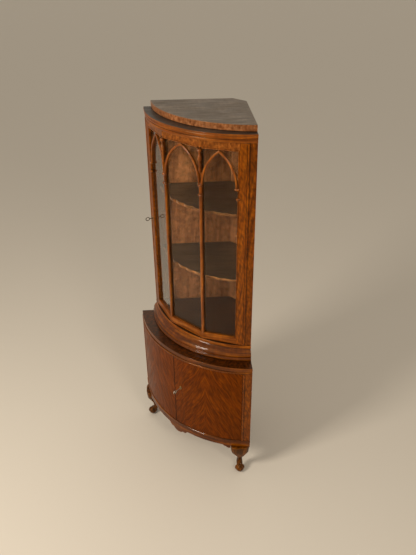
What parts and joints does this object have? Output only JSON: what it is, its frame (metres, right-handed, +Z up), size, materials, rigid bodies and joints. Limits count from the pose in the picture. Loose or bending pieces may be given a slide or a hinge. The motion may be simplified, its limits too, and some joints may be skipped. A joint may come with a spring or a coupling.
{
  "type": "corner cabinet",
  "caption": "Bow-fronted mahogany corner cabinet: faceted glazed upper door with pointed tracery over bowed cupboard doors, on cabriole legs with claw feet.",
  "frame": {"origin": "on the floor at the centre of the bounding box, between the cut back corner and the bow of the lower key", "axes": "+Z up; -Y out of the bowed front; +X to the right seen from the front; the two back faces run at 45 degrees to X and Y"},
  "size_m": [0.7474, 0.5224, 1.8],
  "materials": {
    "mahogany": "figured orange-brown mahogany veneer, French-polished to a gloss",
    "top_veneer": "dark greyish-brown aged top, dull polish",
    "back_veneer": "mottled red-brown veneer, semi-gloss",
    "carcass_wood": "plain stained carcass wood",
    "dark_mahogany": "dark carved mahogany, polished",
    "brass": "aged brass",
    "steel": "worn steel key",
    "glass": "clear flat glass"
  },
  "bodies": {
    "case": {"side_rail_left": "carcass_wood", "side_rail_right": "carcass_wood", "skirt": "mahogany", "front_leg_left": "dark_mahogany", "front_leg_right": "dark_mahogany", "rear_leg": "dark_mahogany", "lower_case_floor": "mahogany", "lower_back_corner": "back_veneer", "lower_back_left": "back_veneer", "lower_back_right": "back_veneer", "lower_case_top": "mahogany", "base_top": "mahogany", "waist_moulding": "mahogany", "upper_case_floor": "mahogany", "upper_back_corner": "back_veneer", "upper_back_left": "back_veneer", "upper_back_right": "back_veneer", "upper_post_left": "mahogany", "upper_post_right": "mahogany", "lower_post_left": "mahogany", "lower_post_right": "mahogany", "cap_top": "top_veneer", "cornice": "mahogany", "upper_case_top": "carcass_wood", "display_shelf_lower": "back_veneer", "display_shelf_upper": "back_veneer", "lower_shelf": "carcass_wood", "upper_door_stop": "carcass_wood", "lower_door_stop": "carcass_wood"},
    "upper_door": {"upper_door_stile_right": "mahogany", "upper_door_stile_left": "mahogany", "upper_door_bottom_rail": "mahogany", "upper_door_top_rail": "mahogany", "muntin_left": "mahogany", "muntin_right": "mahogany", "glass_left": "glass", "glass_centre": "glass", "glass_right": "glass", "glazing_fillet_left": "carcass_wood", "glazing_fillet_centre": "carcass_wood", "glazing_fillet_right": "carcass_wood", "tracery": "mahogany", "upper_door_pivot_bottom": "brass", "upper_door_pivot_top": "brass", "upper_lock_case": "brass", "upper_escutcheon": "brass"},
    "upper_bolt": {"upper_bolt": "brass"},
    "upper_key": {"upper_key": "steel"},
    "lower_door_right": {"lower_door_right": "mahogany", "lower_door_right_pivot_bottom": "brass", "lower_door_right_pivot_top": "brass", "lower_lock_case": "brass", "lower_escutcheon": "brass"},
    "lower_bolt": {"lower_bolt": "brass"},
    "lower_key": {"lower_key": "steel"},
    "lower_door_left": {"lower_door_left": "mahogany", "lower_door_left_pivot_bottom": "brass", "lower_door_left_pivot_top": "brass", "slip_bolt_case": "brass"},
    "slip_bolt": {"slip_bolt": "brass"}
  },
  "joints": [
    {"name": "upper_door_hinge", "type": "hinge", "parent": "case", "child": "upper_door", "pos_m": [0.27405, -0.03882, 1.25], "axis": [0, 0, 1], "range_deg": [0, 105]},
    {"name": "upper_key_turn", "type": "hinge", "parent": "upper_door", "child": "upper_key", "pos_m": [-0.26854, -0.04669, 1.259], "axis": [0.4013, 0.916, 0], "range_deg": [0, 180]},
    {"name": "upper_bolt_slide", "type": "slide", "parent": "upper_door", "child": "upper_bolt", "axis": [-0.916, 0.4013, 0], "range_m": [0, 0.006]},
    {"name": "lower_door_right_hinge", "type": "hinge", "parent": "case", "child": "lower_door_right", "pos_m": [0.32525, -0.10034, 0.45], "axis": [0, 0, 1], "range_deg": [0, 105]},
    {"name": "lower_key_turn", "type": "hinge", "parent": "lower_door_right", "child": "lower_key", "pos_m": [0.03123, -0.20692, 0.476], "axis": [-0.0546, 0.9985, 0], "range_deg": [0, 180]},
    {"name": "lower_bolt_slide", "type": "slide", "parent": "lower_door_right", "child": "lower_bolt", "axis": [-0.9985, -0.0546, 0], "range_m": [0, 0.006]},
    {"name": "lower_door_left_hinge", "type": "hinge", "parent": "case", "child": "lower_door_left", "pos_m": [-0.32525, -0.10034, 0.45], "axis": [0, 0, -1], "range_deg": [0, 105]},
    {"name": "slip_bolt_slide", "type": "slide", "parent": "lower_door_left", "child": "slip_bolt", "axis": [0, 0, 1], "range_m": [0, 0.007]}
  ],
  "couplings": [
    {"joint": "upper_key_turn", "follows": "upper_bolt_slide", "rad_per_m": 523.5},
    {"joint": "lower_key_turn", "follows": "lower_bolt_slide", "rad_per_m": 523.5}
  ]
}
